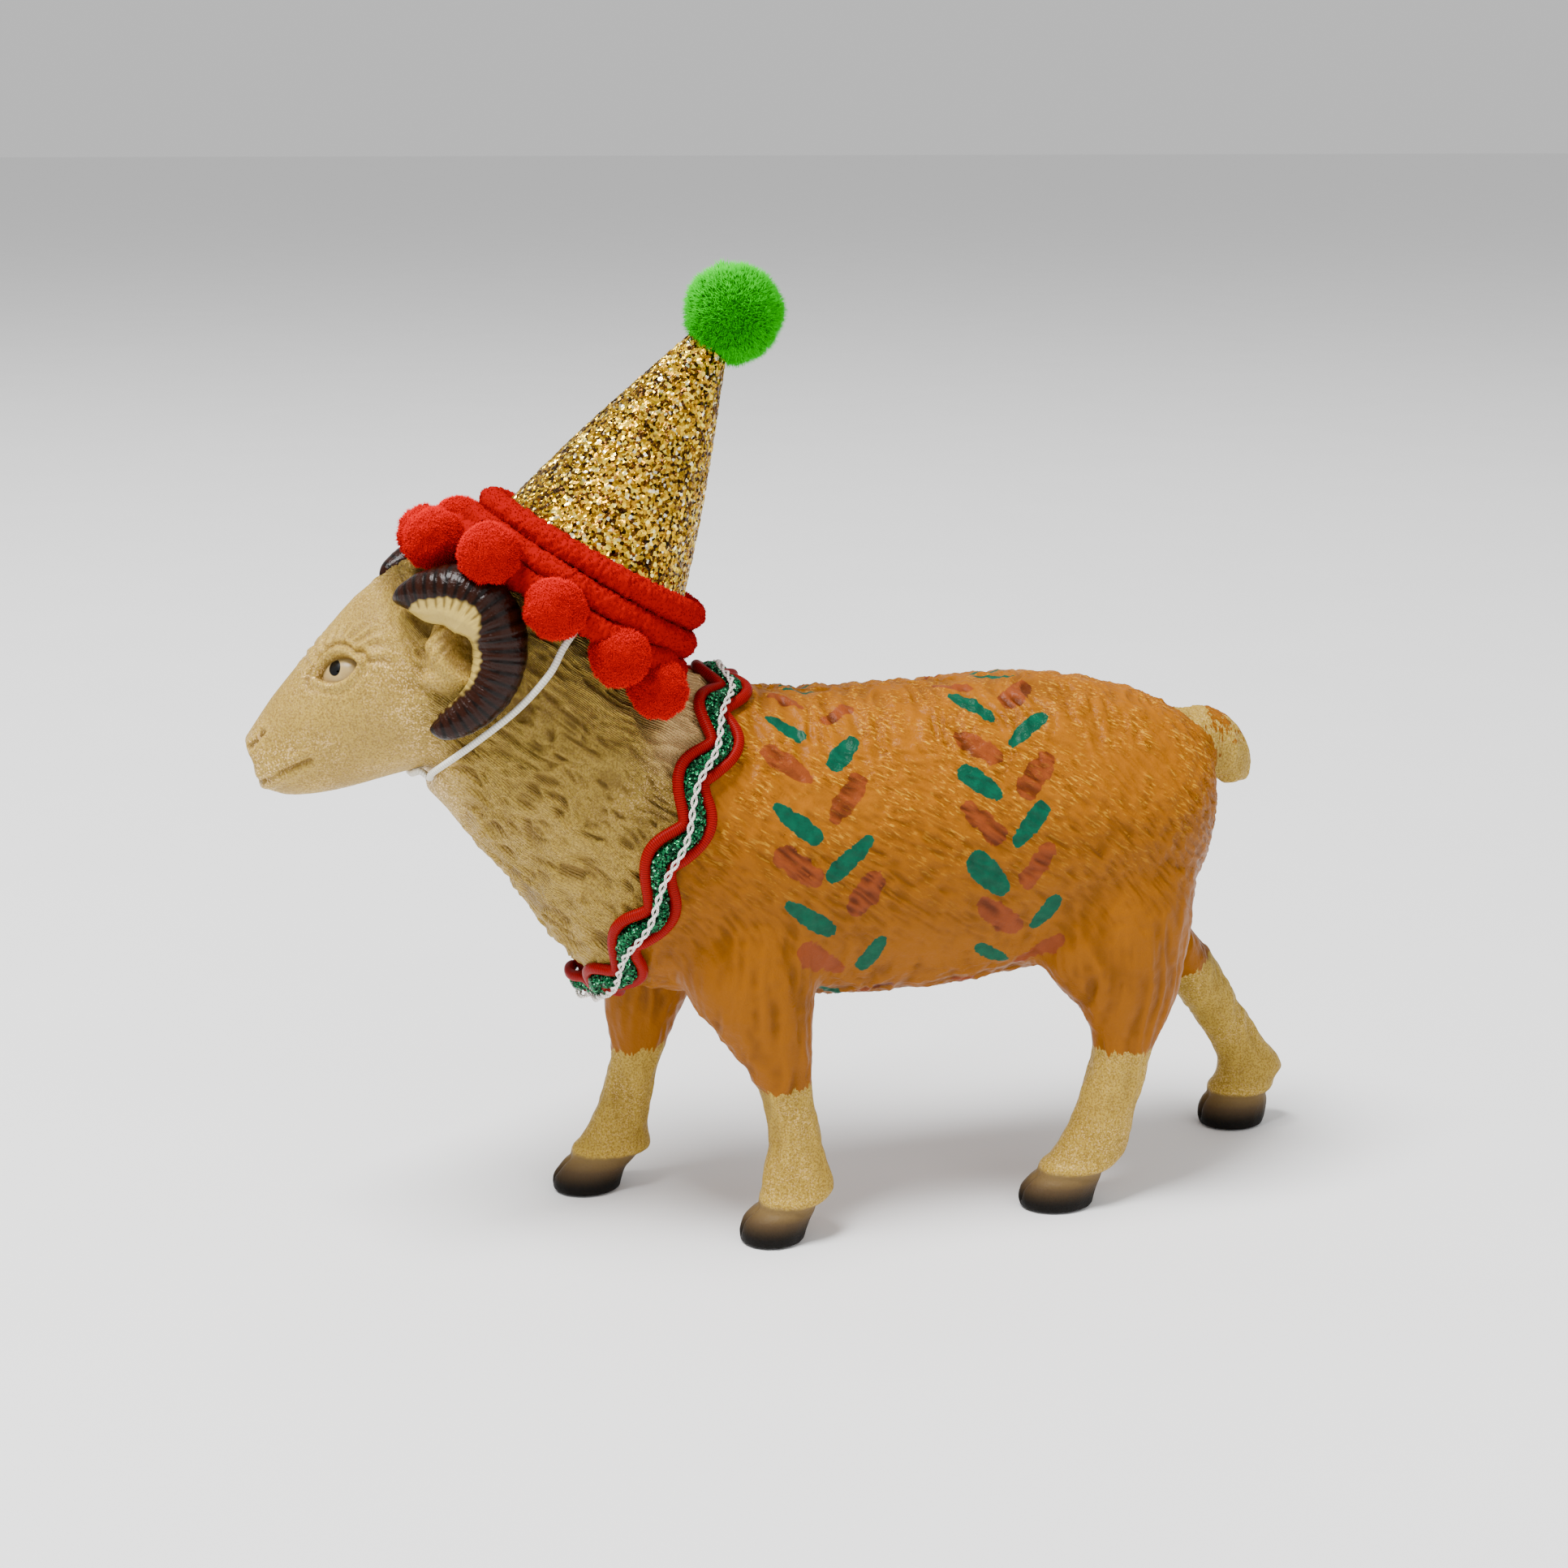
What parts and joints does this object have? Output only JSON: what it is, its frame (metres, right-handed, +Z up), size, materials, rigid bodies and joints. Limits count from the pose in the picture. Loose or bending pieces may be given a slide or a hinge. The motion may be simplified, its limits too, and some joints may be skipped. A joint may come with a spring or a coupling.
{
  "type": "toy ram figurine with party hat",
  "caption": "Moulded vinyl ram standing in a walking pose, with a rickrack braid collar and a glittered cone party hat held on by an elastic chin strap.",
  "frame": {"origin": "middle of the footprint, on the surface the hooves stand on", "axes": "+Z up, the ram looks along -Y, its left side is +X"},
  "size_m": [0.0614, 0.2212, 0.1897],
  "materials": {
    "ochre_paint": "hand-brushed golden ochre paint on moulded vinyl, satin",
    "cream_vinyl": "cream moulded vinyl with a fur texture, matte",
    "horn_paint": "dark brown gloss paint on moulded vinyl",
    "red_cord": "satin cord",
    "green_tinsel": "metallic tinsel braid",
    "white_thread": "twisted cotton thread",
    "gold_glitter": "card covered in coarse gold glitter",
    "green_pompom": "fuzzy acrylic pompom",
    "red_chenille": "fuzzy chenille",
    "white_elastic": "round braided elastic"
  },
  "bodies": {
    "ram": {"torso": "ochre_paint", "head_and_neck": "cream_vinyl", "leg_front_left": "cream_vinyl", "leg_front_right": "cream_vinyl", "leg_hind_left": "cream_vinyl", "leg_hind_right": "cream_vinyl", "tail": "cream_vinyl", "ear_left": "cream_vinyl", "ear_right": "cream_vinyl", "horn_left": "horn_paint", "horn_right": "horn_paint", "collar_cord_front": "red_cord", "collar_cord_rear": "red_cord", "collar_braid": "green_tinsel", "collar_thread": "white_thread", "chin_elastic": "white_elastic"},
    "hat": {"hat_cone": "gold_glitter", "hat_pompom": "green_pompom", "trim_braid_1": "red_chenille", "trim_braid_2": "red_chenille", "trim_braid_3": "red_chenille", "trim_ball_1": "red_chenille", "trim_ball_2": "red_chenille", "trim_ball_3": "red_chenille", "trim_ball_4": "red_chenille", "trim_ball_5": "red_chenille", "trim_ball_6": "red_chenille", "trim_ball_7": "red_chenille", "trim_ball_8": "red_chenille", "trim_ball_9": "red_chenille"}
  },
  "joints": [
    {"name": "hat_lift", "type": "slide", "parent": "ram", "child": "hat", "axis": [0, 0.5, 0.866], "range_m": [0, 0.03], "stiffness_N_per_m": 40, "springref_m": -0.01, "deforming": ["chin_elastic"]}
  ]
}
